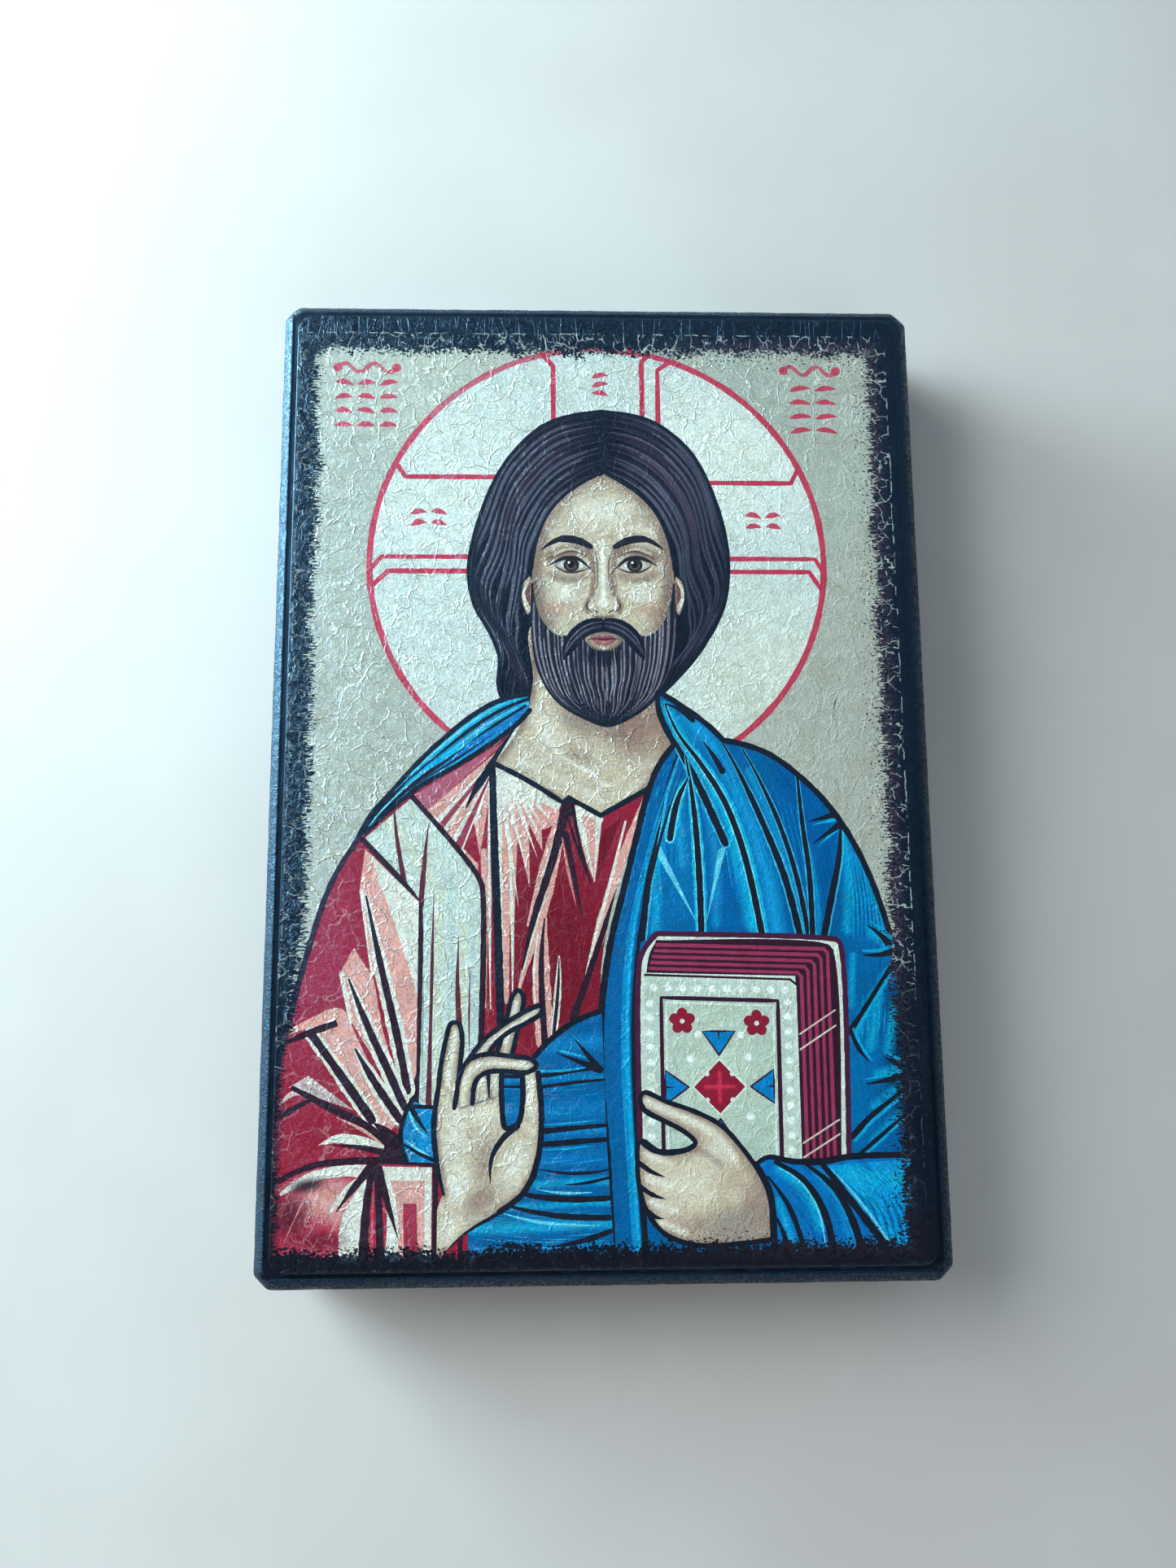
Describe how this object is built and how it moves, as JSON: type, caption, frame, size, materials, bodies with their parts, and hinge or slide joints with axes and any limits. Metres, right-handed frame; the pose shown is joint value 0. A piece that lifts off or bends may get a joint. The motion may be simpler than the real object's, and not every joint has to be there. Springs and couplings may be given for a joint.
{
  "type": "religious icon",
  "caption": "Small icon block that lies flat or leans on its lower edge: a bevelled wooden board painted black, with a printed half-length figure sheet glued to its front.",
  "frame": {"origin": "middle of the board's back face, which is the underside as the icon lies", "axes": "+Z out of the picture, +Y towards the picture's top, +X towards its right"},
  "size_m": [0.1, 0.15, 0.0187],
  "materials": {
    "black_paint": "satin black paint brushed over wood",
    "printed_sheet": "printed sheet under a crinkled satin varnish"
  },
  "bodies": {
    "root": {"wooden_board": "black_paint", "picture_sheet": "printed_sheet"}
  },
  "joints": []
}
